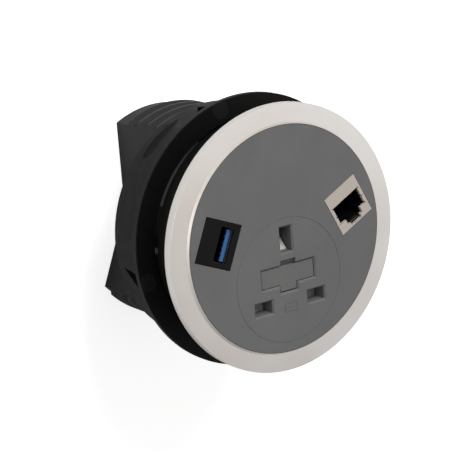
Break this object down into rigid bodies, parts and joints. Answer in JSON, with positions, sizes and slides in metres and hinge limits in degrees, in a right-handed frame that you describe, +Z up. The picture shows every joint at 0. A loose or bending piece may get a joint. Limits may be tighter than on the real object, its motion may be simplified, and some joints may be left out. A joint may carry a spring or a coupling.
{
  "type": "in-desk power module",
  "caption": "Round desk insert with a fused mains socket, a data port and a network jack, clamped from below by a ring nut on its threaded barrel.",
  "frame": {"origin": "centre of the bezel's underside, in the plane of the desk top", "axes": "+Z up out of the desk along the barrel's axis, +Y from the socket's middle to its earth aperture"},
  "size_m": [0.0958, 0.0958, 0.0754],
  "materials": {
    "bezel_steel": "satin",
    "fascia_grey": "fine moulded texture",
    "shutter_pale": "smooth",
    "housing_black": "fine moulded texture",
    "clamp_black": "fine moulded texture",
    "base_cream": "smooth",
    "inlet_black": "smooth",
    "port_black": "smooth",
    "jack_ivory": "smooth",
    "insert_black": "smooth",
    "tongue_blue": "smooth",
    "shell_steel": "bright nickel",
    "contact_gold": "gold flash",
    "contact_brass": "stamped",
    "screw_steel": "zinc plated",
    "spring_steel": "drawn wire",
    "fuse_ceramic": "glazed ceramic",
    "cap_nickel": "nickel plated"
  },
  "bodies": {
    "module": {"bezel_ring": "bezel_steel", "fascia": "fascia_grey", "barrel_housing": "housing_black", "rear_cover": "housing_black", "rear_cover_screws": "screw_steel", "fascia_screws": "screw_steel", "socket_base": "base_cream", "socket_base_screws": "screw_steel", "line_contact": "contact_brass", "neutral_contact": "contact_brass", "earth_contact": "contact_brass", "fuse_clips": "contact_brass", "line_busbar": "contact_brass", "fused_link": "contact_brass", "neutral_busbar": "contact_brass", "earth_strap": "contact_brass", "mains_inlet_body": "inlet_black", "mains_inlet_pins": "cap_nickel", "data_port_body": "port_black", "data_port_shells": "shell_steel", "data_port_tongues": "tongue_blue", "data_port_contacts": "contact_gold", "network_jack_body": "jack_ivory", "network_jack_inserts": "insert_black", "network_jack_contacts": "contact_gold", "shutter_spring": "spring_steel"},
    "fuse_carrier": {"fuse_carrier": "fascia_grey", "fuse_tube": "fuse_ceramic", "fuse_end_caps": "cap_nickel"},
    "shutter": {"shutter": "shutter_pale"},
    "pressure_ring": {"pressure_ring": "clamp_black"},
    "clamp_nut": {"clamp_nut": "clamp_black"}
  },
  "joints": [
    {"name": "fuse_carrier_pull", "type": "slide", "parent": "module", "child": "fuse_carrier", "axis": [0, 0, 1], "range_m": [0, 0.022]},
    {"name": "shutter_slide", "type": "slide", "parent": "module", "child": "shutter", "axis": [0, -1, 0], "range_m": [0, 0.0045], "stiffness_N_per_m": 150, "springref_m": -0.003, "deforming": ["shutter_spring"]},
    {"name": "clamp_travel", "type": "slide", "parent": "module", "child": "pressure_ring", "axis": [0, 0, 1], "range_m": [-0.02478, 0.01209]},
    {"name": "clamp_turn", "type": "hinge", "parent": "pressure_ring", "child": "clamp_nut", "pos_m": [0, 0, -0.027], "axis": [0, 0, 1], "range_deg": [-1512, 738]}
  ],
  "couplings": [
    {"joint": "clamp_travel", "follows": "clamp_turn", "m_per_rad": 0.00093901}
  ]
}
